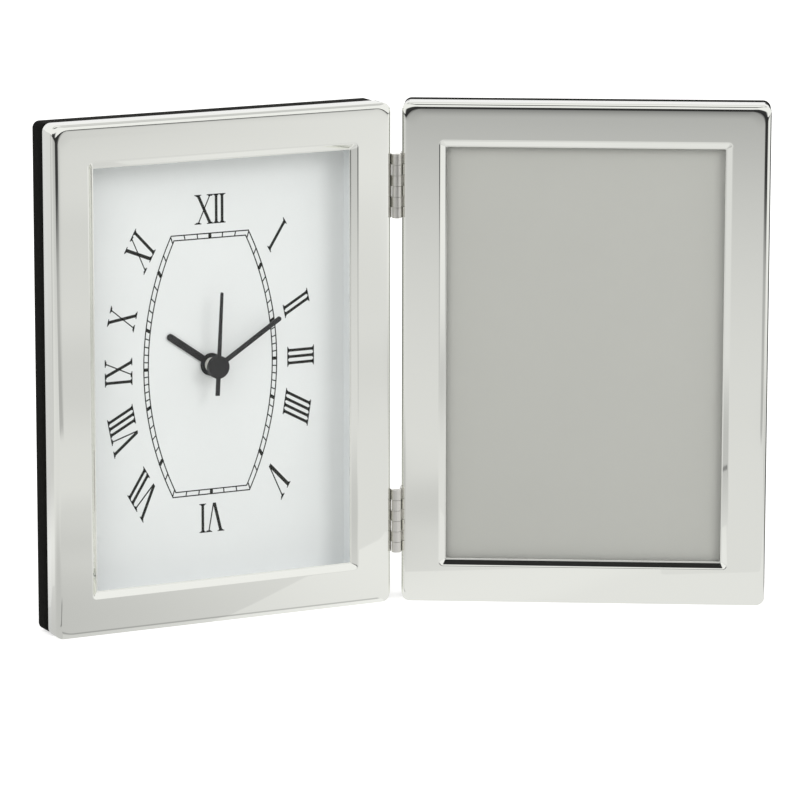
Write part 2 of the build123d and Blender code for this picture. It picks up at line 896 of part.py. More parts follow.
def quartz_crystal():
    depth = level(circuit_level + circuit_thickness) + crystal_radius
    low = crystal_place - crystal_length / 2
    return extrude(Pos(board_x, depth, low) * Circle(crystal_radius), amount=crystal_length)


def battery_height():
    return housing_wall + bay_height / 2 - movement_size / 2


def battery_level():
    return housing_wall + battery_play + battery_radius


def battery_right():
    return movement_size / 2 - housing_wall - contact_thickness


def battery():
    """Round cell with its positive nub at the right."""
    right = battery_right()
    shoulder = right - battery_nub
    depth = level(battery_level())
    body = cross_pin(battery_radius, shoulder - battery_length, shoulder, depth, battery_height())
    return body + cross_pin(battery_nub_radius, shoulder, right, depth, battery_height())


def positive_contact():
    """Flat strip that stands at the battery's nub and reaches up to the circuit board."""
    inner = movement_size / 2 - housing_wall
    half = contact_width / 2
    front = level(battery_level()) - half
    low = battery_height() - half
    body = block(battery_right(), inner, low, bay_top(), front, front + contact_width)
    tab_front = level(runner_level)
    body += block(battery_right(), inner, low, -circuit_low - slip, tab_front, tab_front + runner_width)
    return body


def negative_contact():
    """Strip with a pressed spring bump, and a runner along the top of the battery bay."""
    inner = movement_size / 2 - housing_wall
    half = contact_width / 2
    depth = level(battery_level())
    front = depth - half
    low = battery_height() - half
    battery_left = battery_right() - battery_nub - battery_length
    body = block(-inner, contact_thickness - inner, low, bay_top(), front, front + contact_width)
    body += cross_pin(contact_bump_radius, -inner, battery_left, depth, battery_height())
    runner_front = level(runner_level)
    runner_back = runner_front + runner_width
    tab_left = board_x - circuit_width / 2
    tab_right = tab_left + contact_thickness
    top = bay_top()
    low = top - contact_thickness
    body += block(-inner, tab_right, low, top, runner_front, runner_back)
    body += block(tab_left, tab_right, low, -circuit_low - slip, runner_front, runner_back)
    return body


def place_clock(shape):
    """Move a leaf-centred shape to the clock leaf, which stands square to the row's axes."""
    return Pos(0, -foot_centre, mid_height) * shape


def place_photo(shape):
    """Move a leaf-centred shape to the photo leaf, swung towards the viewer about the hinge."""
    at_axis = Pos(hinge_x, hinge_axis_front, mid_height) * shape
    swung = Rot(0, 0, -swing_angle) * at_axis
    return Pos(hinge_x, -foot_centre - hinge_axis_front, 0) * swung


def write(name, shape):
    shape.label = name
    export_step(shape, os.path.join("parts", name + ".step"))


clock_parts = {
    "clock_shell": shell(1),
    "clock_glass": glass(),
    "clock_case": clock_case(),
    "dial_surround": dial_surround(),
    "dial_card": dial_card(),
    "clock_back_board": clock_back_board(),
    "clock_back_screws": clock_back_screws(),
    "upper_hinge_leaf_clock": hinge_leaf(1, hinge_offset, 1),
    "lower_hinge_leaf_clock": hinge_leaf(1, -hinge_offset, 1),
    "upper_hinge_pin": hinge_pin(hinge_offset),
    "lower_hinge_pin": hinge_pin(-hinge_offset),
    "hinge_rivets_clock": hinge_rivets(1),
    "hour_hand": hour_hand(),
    "minute_hand": minute_hand(),
    "second_hand": second_hand(),
    "hour_wheel": hour_wheel(),
    "centre_wheel": centre_wheel(),
    "motion_wheel": motion_wheel(),
    "third_wheel": third_wheel(),
    "second_wheel": second_wheel(),
    "intermediate_wheel": intermediate_wheel(),
    "rotor": rotor(),
    "setting_knob": setting_knob(),
    "movement_nut": nut(),
    "movement_washer": washer(),
    "movement_case": movement_case(),
    "movement_cover": movement_cover(),
    "train_bridge": train_bridge(),
    "stator": stator(),
    "coil_core": coil_core(),
    "coil_bobbin": coil_bobbin(),
    "coil_winding": coil_winding(),
    "circuit_board": circuit_board(),
    "chip": chip(),
    "quartz_crystal": quartz_crystal(),
    "battery": battery(),
    "positive_contact": positive_contact(),
    "negative_contact": negative_contact(),
}

photo_parts = {
    "photo_shell": shell(-1),
    "photo_glass": glass(),
    "photo_card": photo_card(),
    "filler_card": filler_card(),
    "photo_case": photo_case(),
    "photo_back_board": photo_back_board(),
    "upper_hinge_leaf_photo": hinge_leaf(-1, hinge_offset, 0),
    "lower_hinge_leaf_photo": hinge_leaf(-1, -hinge_offset, 0),
    "hinge_rivets_photo": hinge_rivets(-1),
    "turn_button_rivets": turn_button_rivets(),
}
for number, place in enumerate(button_places(), start=1):
    photo_parts["turn_button_" + str(number)] = turn_button(place)

for name, shape in clock_parts.items():
    write(name, place_clock(shape))
for name, shape in photo_parts.items():
    write(name, place_photo(shape))
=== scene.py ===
# %% [markdown]
# # Photo frame clock: from a imported CAD model to a finished picture
#
# Two mirror-polished frames stand like an open book. The left one holds a
# quartz clock behind glass and the right one holds a picture. The CAD model
# brings every solid to its place, so this script only adds what CAD leaves
# out: the finishes, the print on the dial, the pile of the velvet and the
# crosses in the screw heads, drawn in painted shade. MM and MICRON turn
# smaller units into metres.

# %% Load the imported model
import math

import bmesh
import bpy
from mathutils import Matrix, Vector


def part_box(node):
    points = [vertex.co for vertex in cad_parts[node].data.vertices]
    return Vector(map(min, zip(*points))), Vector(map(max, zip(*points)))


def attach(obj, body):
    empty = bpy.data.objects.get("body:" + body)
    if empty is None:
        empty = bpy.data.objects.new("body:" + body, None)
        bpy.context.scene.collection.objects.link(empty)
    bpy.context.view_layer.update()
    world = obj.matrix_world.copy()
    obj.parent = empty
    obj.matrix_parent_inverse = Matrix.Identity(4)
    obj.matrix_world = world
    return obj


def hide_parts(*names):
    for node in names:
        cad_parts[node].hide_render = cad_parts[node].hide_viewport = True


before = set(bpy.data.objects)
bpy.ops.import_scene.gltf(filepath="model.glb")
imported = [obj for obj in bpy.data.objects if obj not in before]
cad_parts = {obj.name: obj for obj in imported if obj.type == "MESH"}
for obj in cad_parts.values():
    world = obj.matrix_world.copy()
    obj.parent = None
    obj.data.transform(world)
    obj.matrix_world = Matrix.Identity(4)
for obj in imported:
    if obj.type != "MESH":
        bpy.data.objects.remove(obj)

MM, MICRON = 1e-3, 1e-6
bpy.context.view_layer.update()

# %% [markdown]
# The camera comes from the photograph: a long lens far away keeps the frames'
# upright edges nearly parallel, and it looks down by 11 degrees. Its place was
# fitted to corners that can be seen both in the photograph and in the model.

# %% Camera
CAMERA_PLACE = (-0.73167, -1.58246, 0.42965)
CAMERA_HEADING, CAMERA_PITCH, CAMERA_ROLL = 26.848, 11.413, -0.077
FOCAL_LENGTH, SENSOR_WIDTH = 230.75, 36.0
CLIP_START, CLIP_END = 0.05, 50.0
lens = bpy.data.cameras.new("camera")
lens.lens, lens.sensor_width = FOCAL_LENGTH, SENSOR_WIDTH
lens.clip_start, lens.clip_end = CLIP_START, CLIP_END
camera = bpy.data.objects.new("camera", lens)
bpy.context.scene.collection.objects.link(camera)
camera.location = CAMERA_PLACE
camera.rotation_euler = [
    math.radians(angle) for angle in (90 - CAMERA_PITCH, CAMERA_ROLL, -CAMERA_HEADING)
]
bpy.context.scene.camera = camera
bpy.context.scene.view_settings.view_transform = "Standard"
print("camera", CAMERA_PLACE, "lens", lens.lens)


# %% [markdown]
# Finishes are sums of noise, gradients and colours. Written node by node they
# are hard to read, so one small class wraps a socket and turns Python's
# operators into Math nodes. Two moves come back all the time: a soft step from
# 0 to 1, and a band, which is a step up followed by a step down.

# %% Sockets as numbers
class Value:
    """A socket that can be added, multiplied and raised like a number."""

    def __init__(self, finish, socket):
        self.finish, self.socket = finish, socket

    def apply(self, operation, *others):
        inputs = dict(enumerate((self, *others)))
        return self.finish.node("Math", {"operation": operation}, inputs)

    def __add__(self, other):
        return self.apply("ADD", other)

    def __sub__(self, other):
        return self.apply("SUBTRACT", other)

    def __mul__(self, other):
        return self.apply("MULTIPLY", other)

    def __truediv__(self, other):
        return self.apply("DIVIDE", other)

    def __pow__(self, other):
        return self.apply("POWER", other)

    def __rsub__(self, other):
        return self.finish.node("Math", {"operation": "SUBTRACT"}, {0: other, 1: self})

    __radd__, __rmul__ = __add__, __mul__

    def step(self, low, high):
        """0 below low, 1 above high and a soft ramp between them."""
        kind = {"interpolation_type": "SMOOTHSTEP", "clamp": True}
        return self.finish.node("MapRange", kind, {0: self, 1: low, 2: high})

    def band(self, start, full, fade, end):
        """0 below start, 1 from full to fade, and 0 again above end."""
        return self.step(start, full) * (1 - self.step(fade, end))


# %% [markdown]
# Colours are written as on screen, which is not how light adds up. Blender
# works with linear light, so each code is turned into it first.

# %% Colours
BLACK, WHITE = (0, 0, 0, 1), (1, 1, 1, 1)


def linear(code, share=1.0):
    """A colour such as '#B0B1AB' as linear light, or a share of that light."""
    parts = [int(code[i:i + 2], 16) / 255 for i in (1, 3, 5)]
    light = [p / 12.92 if p < 0.04045 else ((p + 0.055) / 1.055) ** 2.4 for p in parts]
    return [p * share for p in light] + [1.0]


print("a middle grey in linear light", [round(part, 3) for part in linear("#808080")])


# %% [markdown]
# A second class holds one material, or the world, and makes every other node
# from its type, its settings and its inputs. Its noise, mix and bump are what
# nearly every finish here is made of. Depths are given in microns, because
# grain and pores are that small.

# %% Materials from short expressions
class Finish:
    """One material, or the world, with its shader and its nodes."""

    def __init__(self, name, colour="#808080", owner=None, **values):
        self.owner = owner or bpy.data.materials.new(name)
        self.owner.use_nodes = True
        self.tree = self.owner.node_tree
        self.shader = self.tree.nodes.get("Principled BSDF")
        if self.shader:
            self.set("Base Color", linear(colour))
            for socket, value in values.items():
                self.set(socket.replace("_", " ").title().replace("Ior", "IOR"), value)

    def set(self, socket, value):
        """Gives one socket of the main shader a plain value or a link."""
        self.fill(self.shader.inputs[socket], value)
        return self

    def fill(self, socket, value):
        """A link where value is a Value, and otherwise a plain value."""
        if isinstance(value, Value):
            self.tree.links.new(value.socket, socket)
        else:
            socket.default_value = value

    def node(self, kind, settings=None, inputs=None, output=0):
        """Any node: its type, its settings first, then its inputs."""
        made = self.tree.nodes.new("ShaderNode" + kind)
        for key, value in (settings or {}).items():
            setattr(made, key, value)
        for key, value in (inputs or {}).items():
            self.fill(made.inputs[key], value)
        return Value(self, made.outputs[output])

    def place(self, stretch=(1, 1, 1)):
        """The object's own coordinates in metres, stretched."""
        here = self.node("TexCoord", output="Object")
        return self.node("Mapping", {}, {"Vector": here, "Scale": stretch})

    def noise(self, scale, stretch=(1, 1, 1), detail=3.0):
        """Noise from 0 to 1; scale counts its bumps along one metre."""
        inputs = {"Vector": self.place(stretch), "Scale": scale,
                  "Detail": detail, "Roughness": 0.55}
        return self.node("TexNoise", {}, inputs, output="Fac")

    def mix(self, amount, low, high):
        """One colour going over into another."""
        kind = {"data_type": "RGBA", "clamp_factor": True}
        return self.node("Mix", kind, {0: amount, 6: low, 7: high}, output=2)

    def bump(self, height, microns, strength=1.0):
        """Dents and grain: a height from 0 to 1 stands for so many microns."""
        inputs = {"Height": height, "Distance": microns * MICRON, "Strength": strength}
        return self.set("Normal", self.node("Bump", {}, inputs))


# %% [markdown]
# A finish is given to a CAD node by its material slot. A node's mesh stays as
# it was packed; only what its slots hold is changed.

# %% Dress the CAD nodes
def dress(finish, *nodes):
    """Puts one finish on whole CAD nodes."""
    for name in nodes:
        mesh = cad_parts[name].data
        mesh.materials.clear()
        mesh.materials.append(finish.owner)
    print(finish.owner.name, "on", len(nodes), "nodes")


# %% [markdown]
# The shells are stamped from thin sheet and polished until they mirror the
# room. A mirror has hardly a colour of its own: it takes a faint warm tint,
# almost no roughness, and very shallow waves that a polishing wheel leaves.

# %% Polished silver
silver = Finish("polished_silver", "#F6F7F1", metallic=1.0)
haze = silver.noise(60, detail=4)
lines = silver.noise(900, stretch=(1, 1, 0.04), detail=2)
silver.set("Roughness", 0.025 + 0.03 * haze * lines)
silver.bump(silver.noise(14, detail=1), microns=40, strength=0.5)
dress(silver, "clock_shell", "photo_shell")

# %% [markdown]
# The hinges are folded from the same sheet but only brushed. Fine upright
# lines in the roughness and in the height spread the light sideways.

# %% Brushed hinges, pins and rivets
hinge = Finish("brushed_hinge_metal", "#E2E0DB", metallic=1.0, anisotropic=0.4)
brushed = hinge.noise(2600, stretch=(1, 1, 0.03), detail=4)
hinge.set("Roughness", 0.22 + 0.2 * brushed)
hinge.set("Base Color", hinge.mix(brushed, linear("#CFCDC7"), linear("#F4F2ED")))
hinge.bump(brushed, microns=30, strength=0.6)
dress(hinge, "upper_hinge_leaf_clock", "lower_hinge_leaf_clock", "upper_hinge_leaf_photo",
      "lower_hinge_leaf_photo", "upper_hinge_pin", "lower_hinge_pin",
      "hinge_rivets_clock", "hinge_rivets_photo")

# %% [markdown]
# The wooden cases behind the shells are wrapped in black velvet. Its short
# pile swallows light seen from the front and catches it at the edges, which
# the sheen does; clumps and single fibres come from two noises.

# %% Black velvet
velvet = Finish("black_velvet", "#0B0B0A", roughness=1.0, sheen_weight=0.16,
                sheen_roughness=0.35, specular_ior_level=0.05)
velvet.set("Sheen Tint", linear("#84847F"))
pile, fibre = velvet.noise(420, detail=3), velvet.noise(5200, detail=2)
velvet.set("Base Color", velvet.mix(pile * fibre * 2.4, linear("#060605"), linear("#181816")))
velvet.bump(pile * 0.45 + fibre * 0.55, microns=250, strength=0.8)
dress(velvet, "clock_case", "photo_case", "clock_back_board", "photo_back_board")

# %% [markdown]
# The panes are plain glass. Real glass in a path tracer blocks the lamps and
# would leave the dial in the dark, so rays that only ask for light pass
# through it as if it were clear, and all others meet the glass. Its index is
# lower than real glass has, which keeps reflections off the dial.

# %% Clear glass
GLASS_TINT = (0.97, 0.98, 0.975, 1)
glass = Finish("clear_glass", "#FFFFFF", roughness=0.0, ior=1.22, transmission_weight=1.0)
light = glass.node("LightPath", output="Is Shadow Ray")
bounce = glass.node("LightPath", output="Is Diffuse Ray")
clear = glass.node("BsdfTransparent", {}, {"Color": GLASS_TINT})
body = Value(glass, glass.shader.outputs[0])
pane = glass.node("MixShader", {}, {0: light.apply("MAXIMUM", bounce), 1: body, 2: clear})
glass.fill(glass.tree.nodes["Material Output"].inputs["Surface"], pane)
dress(glass, "clock_glass", "photo_glass")


# %% [markdown]
# Card, paper and board are matt. What tells them apart is the size of their
# fibres, so one function makes them all.

# %% Card, paper and board
def fibre_board(name, colour, shade, grain, microns, rough=0.8):
    """A matt board with clouds of slightly different tone and fine fibres."""
    made = Finish(name, colour, roughness=rough, specular_ior_level=0.25)
    clouds, fibres = made.noise(35, detail=2), made.noise(grain, detail=3)
    made.set("Base Color", made.mix(clouds * fibres * 2, linear(shade), linear(colour)))
    return made.bump(fibres, microns, strength=0.5)


dress(fibre_board("dial_card_white", "#F2F3F3", "#ECEDED", 3000, 20), "dial_card")
dress(fibre_board("surround_white_board", "#F1F3F4", "#E9EBEC", 2500, 30), "dial_surround")
dress(fibre_board("insert_card_grey", "#BEBDB8", "#BCBBB6", 3000, 20), "photo_card")
dress(fibre_board("filler_board_brown", "#A58F6B", "#7C6848", 900, 100, rough=0.95),
      "filler_card")


# %% [markdown]
# Moulded plastic has a fine even grain where the mould was eroded, and is
# smoother on gears. Again one function serves every plastic part.

# %% Plastic parts
def plastic(name, colour, rough, grain, microns, **more):
    """Moulded plastic: nearly one colour, with a grain in gloss and height."""
    made = Finish(name, colour, **more)
    grains = made.noise(grain, detail=2)
    made.set("Base Color", made.mix(made.noise(120), linear(colour, 0.8), linear(colour)))
    made.set("Roughness", rough + 0.15 * grains)
    return made.bump(grains, microns, strength=0.6)


dress(plastic("moulded_black_plastic", "#1C1C1D", 0.5, 1800, 60),
      "movement_case", "movement_cover", "setting_knob")
dress(plastic("gear_plastic_white", "#E6E5DE", 0.35, 4000, 10,
              subsurface_weight=0.1, subsurface_scale=1 * MM),
      "hour_wheel", "motion_wheel", "third_wheel", "intermediate_wheel", "coil_bobbin")
dress(plastic("gear_plastic_black", "#1D1E20", 0.4, 4000, 10),
      "centre_wheel", "second_wheel", "train_bridge")
dress(plastic("rotor_magnet_grey", "#4A4B4E", 0.45, 3000, 20), "rotor")
dress(plastic("washer_rubber_black", "#161616", 0.75, 1500, 50), "movement_washer")
dress(plastic("chip_resin_black", "#111112", 0.5, 3000, 30), "chip")
dress(plastic("circuit_board_green", "#1E5B34", 0.35, 2500, 20, coat_weight=0.4),
      "circuit_board")

# %% [markdown]
# The cell is hidden behind the movement. Its printed sleeve has two fields:
# a long dark one and a short bright one at the positive end, with a pale ring
# between them. Both ends show bare metal. All of it comes from one coordinate,
# the way along the cell from 0 to 1.

# %% Battery
SLEEVE_START, SLEEVE_END, FIELD_EDGE = 0.012, 0.957, 0.68
RING_START, RING_END, SOFT = 0.665, 0.695, 0.002
sleeve = Finish("battery_sleeve", "#2C4B78", roughness=0.32, coat_weight=0.5)
low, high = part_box("battery")
here = sleeve.node("TexCoord", output="Object")
along = sleeve.node("SeparateXYZ", {}, {0: here}, output=0)
along = (along - low[0]) / (high[0] - low[0])
covered = along.band(SLEEVE_START, SLEEVE_START + 2 * SOFT, SLEEVE_END, SLEEVE_END + 2 * SOFT)
ring = along.band(RING_START, RING_START + SOFT, RING_END, RING_END + SOFT)
bright = along.step(FIELD_EDGE, FIELD_EDGE + SOFT)
field = sleeve.mix(bright, linear("#24406B"), linear("#C9A24A"))
field = sleeve.mix(ring, field, linear("#E4E4E0"))
sleeve.set("Base Color", sleeve.mix(covered, linear("#C8C9CA"), field))
sleeve.set("Metallic", 1 - covered)
sleeve.bump(sleeve.noise(2600, detail=3), microns=10, strength=0.4)
dress(sleeve, "battery")


# %% [markdown]
# Screws, contacts and laminations are plated or raw metal. They share a
# function in which a brushed noise moves roughness and tone together.

# %% Small metal parts
def metal(name, colour, rough):
    """Metal with fine marks from rolling or turning."""
    made = Finish(name, colour, metallic=1.0)
    marks = made.noise(1800, stretch=(1, 1, 0.1), detail=4)
    made.set("Base Color", made.mix(marks, linear(colour, 0.7), linear(colour)))
    made.set("Roughness", rough + 0.2 * marks)
    return made.bump(marks, microns=20, strength=0.5)


dress(metal("zinc_plated_steel", "#C9CBCC", 0.25), "clock_back_screws", "turn_button_1",
      "turn_button_2", "turn_button_3", "turn_button_4", "turn_button_rivets", "quartz_crystal")
dress(metal("stamped_core_steel", "#A9ABAE", 0.35), "stator", "coil_core")
dress(metal("brass_nut", "#D9B36A", 0.25), "movement_nut")
dress(metal("nickel_contact_strip", "#D3D2CD", 0.2), "positive_contact", "negative_contact")

# %% [markdown]
# The coil is wound from enamelled copper wire. Its turns are too fine to be
# modelled, so a wave texture draws them in the height, and darkens the colour
# in the grooves as painted shade.

# %% Copper winding
copper = Finish("enamelled_copper_wire", "#C4713A", metallic=0.9, roughness=0.3,
                coat_weight=0.5)
wire = copper.node("TexWave", {"wave_type": "BANDS", "bands_direction": "X"},
                   {"Vector": copper.place(), "Scale": 2500.0, "Distortion": 1.0})
# Painted shade: the wave darkens the copper in the grooves between the turns.
copper.set("Base Color", copper.mix(wire, linear("#8A4520"), linear("#D9834A")))
copper.bump(wire, microns=60)
dress(copper, "coil_winding")

# %% [markdown]
# The hands are stamped from aluminium and enamelled black. The enamel is
# satin, so it shows a soft light edge but no clear reflection.

# %% Black hands
enamel = Finish("black_enamel", "#141415", coat_weight=0.15, coat_roughness=0.3)
pores = enamel.noise(2400, detail=3)
enamel.set("Roughness", 0.42 + 0.16 * pores)
enamel.set("Base Color", enamel.mix(pores, linear("#0F0F10"), linear("#1A1A1B")))
enamel.bump(pores, microns=10, strength=0.4)
dress(enamel, "hour_hand", "minute_hand", "second_hand")


# %% [markdown]
# The CAD shell has few facets, and a mirror shows every one. So each shell is
# made again as a fine mesh of the same shape, from one line and one ring. The
# line runs across the metal, from the rim over the rounded edge and the flat
# down the bevel into the window and back behind the sheet. Its first
# millimetres are very slightly crowned, as pressed sheet is. Short extra steps
# (BESIDE) next to every curve keep the flats flat in the reflections.

# %% Section of the stamped metal, in millimetres
LEAF = (128.4, 178.4)
RIM_DEPTH, SHEET, EDGE, MARGIN = 8.0, 0.5, 1.8, 15.7
CROWN, SAG = 3.0, 0.03
LIP, BEVEL_WIDTH, BEVEL_DEPTH, SHOULDER, VALLEY = 0.45, 1.9, 1.4, 1.1, 0.25
RIM_CHAMFER, LIP_CHAMFER, BESIDE = 0.06, 0.08, 0.1
EDGE_STEPS, CROWN_STEPS, SHOULDER_STEPS, SMALL_STEPS = 14, 6, 8, 4
FOOT = MARGIN - LIP
TOP = FOOT - BEVEL_WIDTH
SLOPE = math.atan2(BEVEL_DEPTH, BEVEL_WIDTH)


def arc(middle, radius, start, end, steps):
    """Points of an arc as (inset, depth), with angles in degrees from the inset axis."""
    turns = [math.radians(start + (end - start) * i / steps) for i in range(steps + 1)]
    return [(middle[0] + radius * math.cos(t), middle[1] + radius * math.sin(t)) for t in turns]


def section():
    """The sheet's closed section as (inset from the leaf's edge, depth)."""
    slope, tangent = math.degrees(SLOPE), math.tan(SLOPE / 2)
    shoulder = (TOP - SHOULDER * tangent, SHOULDER)
    valley = (FOOT + VALLEY * tangent, BEVEL_DEPTH - VALLEY)
    line = [(0, RIM_DEPTH - RIM_CHAMFER), (0, RIM_DEPTH / 2), (0, EDGE + SAG + BESIDE)]
    line += arc((EDGE, EDGE + SAG), EDGE, 180, 268, EDGE_STEPS)
    for i in range(1, CROWN_STEPS + 1):
        line.append((EDGE + CROWN * i / CROWN_STEPS, SAG * (1 - i / CROWN_STEPS) ** 2))
    line += [(EDGE + CROWN + 2 * BESIDE, 0), ((EDGE + CROWN + TOP) / 2, 0)]
    line += [(shoulder[0] - BESIDE, 0)]
    line += arc(shoulder, SHOULDER, 270, 270 + slope, SHOULDER_STEPS)
    line += arc(valley, VALLEY, 90 + slope, 90, SMALL_STEPS)
    line += [(MARGIN - LIP_CHAMFER, BEVEL_DEPTH), (MARGIN, BEVEL_DEPTH + LIP_CHAMFER)]
    line += [(MARGIN, BEVEL_DEPTH + SHEET), (FOOT, BEVEL_DEPTH + SHEET)]
    line += [(TOP - 3 * BESIDE, SHEET)]
    line += arc((EDGE, EDGE), EDGE - SHEET, 270, 180, SMALL_STEPS)
    return line + [(SHEET, RIM_DEPTH), (RIM_CHAMFER, RIM_DEPTH), (0, RIM_DEPTH - RIM_CHAMFER)]


print("points across the metal", len(section()))

# %% [markdown]
# The corner of a pressed frame is tight at the wall and wider where the edge
# has rolled onto the flat, and it is nearly sharp at the window. So the
# corner's radius depends on where a point lies in the section.

# %% Corner radius along the section
WALL_CORNER, FLAT_CORNER, BEVEL_CORNER, WINDOW_CORNER = 3.0, 5.2, 1.6, 0.35


def section_corner(inset, depth):
    """Corner radius of the ring at one point of the section."""
    rounded = min(max(1 - (depth - SAG) / EDGE, 0.0), 1.0)
    rolled = 1 - math.sqrt(1 - rounded ** 2)
    outer = WALL_CORNER + (FLAT_CORNER - WALL_CORNER) * rolled - min(inset, SHEET) * (1 - rolled)
    inner = BEVEL_CORNER + (WINDOW_CORNER - BEVEL_CORNER) * min(depth / BEVEL_DEPTH, 1.0)
    share = min(max((inset - EDGE) / (TOP - EDGE), 0.0), 1.0)
    return outer * (1 - share) + inner * share


print("corner at the wall", section_corner(0, RIM_DEPTH), "mm")

# %% [markdown]
# The ring runs round the leaf: twelve steps in each corner, and one step on
# each side of a corner, a quarter of a millimetre along the straight side.
# A ring step is its quarter, its angle and that slide along the side.

# %% Ring round a leaf
CORNER_STEPS, SIDE_STEP = 12, 0.25
ring_steps = [(quarter, 90.0 * (quarter + i / CORNER_STEPS), 0.0)
              for quarter in range(4) for i in range(CORNER_STEPS + 1)]
ring_steps += [(quarter, 90.0 * (quarter + end), (2 * end - 1) * SIDE_STEP)
               for quarter in range(4) for end in (0, 1)]
ring_steps.sort(key=lambda step: (step[0], step[1] + step[2]))
ring_steps.append(ring_steps[0])


def ring_point(step, inset, radius):
    """A point of the rounded rectangle as (across, up), in millimetres."""
    quarter, turn, slide = step[0], math.radians(step[1]), step[2]
    side, rise = [(1, 1), (-1, 1), (-1, -1), (1, -1)][quarter]
    x = side * (LEAF[0] / 2 - inset - radius) + radius * math.cos(turn) - slide * math.sin(turn)
    z = rise * (LEAF[1] / 2 - inset - radius) + radius * math.sin(turn) + slide * math.cos(turn)
    return x, z


print("points round a leaf", len(ring_steps) - 1)

# %% [markdown]
# Both leaves are drawn round the middle of their face and then moved: the
# clock leaf only forwards and up, and the photo leaf round the hinge pins,
# which lie between the leaves, by the 30 degrees that it is folded inwards.

# %% Places of the two leaves
HINGE_ACROSS, LEAF_FRONT, AXIS_FRONT, SWING = 65.85 * MM, 4.9 * MM, 0.4 * MM, -30
CENTRE_HEIGHT = LEAF[1] / 2 * MM
to_clock = Matrix.Translation((0, -LEAF_FRONT, CENTRE_HEIGHT))
to_photo = (Matrix.Translation((HINGE_ACROSS, -LEAF_FRONT - AXIS_FRONT, CENTRE_HEIGHT))
            @ Matrix.Rotation(math.radians(SWING), 4, "Z")
            @ Matrix.Translation((HINGE_ACROSS, AXIS_FRONT, 0)))
print("hinge axis at", [round(value, 5) for value in (HINGE_ACROSS, -LEAF_FRONT - AXIS_FRONT)])


# %% [markdown]
# A flat grid has one point for each pair of a line point and a ring step. Each
# point is moved to its place, and where the grid's ends meet they are sewn
# together. The same function bends the shells and, later, the velvet bands.
# Every piece made here rides on one body of the model, so it moves with it.

# %% From a line and a ring to a piece
SEAM = 1e-7


def bent_grid(line, place, corner_radius):
    """A grid of line by ring, bent round a leaf and sewn shut."""
    rows, columns = len(line) - 1, len(ring_steps) - 1
    bm = bmesh.new()
    bmesh.ops.create_grid(bm, x_segments=rows, y_segments=columns, size=0.5)
    for vert in bm.verts:
        inset, depth = line[round((vert.co.x + 0.5) * rows)]
        step = ring_steps[round((vert.co.y + 0.5) * columns)]
        x, z = ring_point(step, inset, corner_radius(inset, depth))
        vert.co = place @ Vector((x * MM, depth * MM, z * MM))
    bmesh.ops.remove_doubles(bm, verts=bm.verts, dist=SEAM)
    return bm


def finished(name, bm, finish, body_name, smooth=False):
    """Turns a bmesh into a piece that rides on a body and has a finish."""
    mesh = bpy.data.meshes.new(name)
    bmesh.ops.recalc_face_normals(bm, faces=bm.faces)
    for face in bm.faces:
        face.smooth = smooth
    bm.to_mesh(mesh)
    bm.free()
    mesh.materials.append(finish.owner)
    piece = bpy.data.objects.new(name, mesh)
    bpy.context.scene.collection.objects.link(piece)
    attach(piece, body_name)
    print(name, len(mesh.polygons), "faces")
    return piece


# %% Stamped shells
def stamped_shell(name, node, body_name, place):
    """One shell as a fine mesh, in place of the CAD shell."""
    bm = bent_grid(section(), place, section_corner)
    piece = finished(name, bm, silver, body_name, smooth=True)
    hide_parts(node)


stamped_shell("stamped_clock_shell", "clock_shell", "clock_leaf", to_clock)
stamped_shell("stamped_photo_shell", "photo_shell", "photo_leaf", to_photo)

# %% [markdown]
# Velvet has a pile about half a millimetre deep. A band of velvet with a
# rounded back edge, bent round the leaf like the shell, stands out behind the
# rim to nearly the shell's own width, and draws the thin black line above and
# beside the silver.

# %% Velvet bands
CASE_INSET, BAND_CORNER = 0.6, 2.9
BAND_GAP, BAND_ROUND, BAND_STEPS = 0.03, 0.6, 6


def velvet_band(name, body_name, place, back, inset):
    """A closed ring of velvet from the shell's rim to the case's back."""
    front = RIM_DEPTH + BAND_GAP
    line = [(CASE_INSET, front), (inset + BESIDE, front)]
    line += [(inset, RIM_DEPTH + 2 * BESIDE), (inset, (RIM_DEPTH + back) / 2)]
    line += arc((inset + BAND_ROUND, back - BAND_ROUND), BAND_ROUND, 180, 90, BAND_STEPS)
    line += [(inset + BAND_ROUND + BESIDE / 2, back - BAND_ROUND / 2), (CASE_INSET, front)]
    bm = bent_grid(line, place, lambda across, depth: BAND_CORNER - across)
    finished(name, bm, velvet, body_name, smooth=True)


velvet_band("clock_velvet_band", "clock_leaf", to_clock, back=18.0, inset=0.4)
velvet_band("photo_velvet_band", "photo_leaf", to_photo, back=14.5, inset=0.12)

# %% [markdown]
# The back board's screws have a cross cut into their heads. The cut is shown by
# two thin bars on each head, dark with the painted shade of the recess, placed
# from the box of the imported screws: three screws stand down each side, with
# their heads touching the box.

# %% Crosses on the screw heads
HEAD_RADIUS, CROSS, CUT, CUT_RISE = 1.7 * MM, 2.1 * MM, 0.42 * MM, 40 * MICRON
# Painted shade: the bars' dark colour stands for the shade inside the cross recess.
recess_shade = Finish("screw_recess_dark", "#1B1B1B", metallic=0.6)
recess_shade.set("Roughness", 0.5 + 0.2 * recess_shade.noise(3000))
low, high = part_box("clock_back_screws")
bm = bmesh.new()
for x in (low[0] + HEAD_RADIUS, high[0] - HEAD_RADIUS):
    for z in (low[2] + HEAD_RADIUS, (low[2] + high[2]) / 2, high[2] - HEAD_RADIUS):
        for wide, tall in ((CROSS, CUT), (CUT, CROSS)):
            size = Matrix.Diagonal((wide, CUT_RISE, tall, 1))
            spot = Matrix.Translation((x, high[1], z)) @ size
            bmesh.ops.create_cube(bm, size=1.0, matrix=spot)
finished("screw_crosses", bm, recess_shade, "clock_leaf")

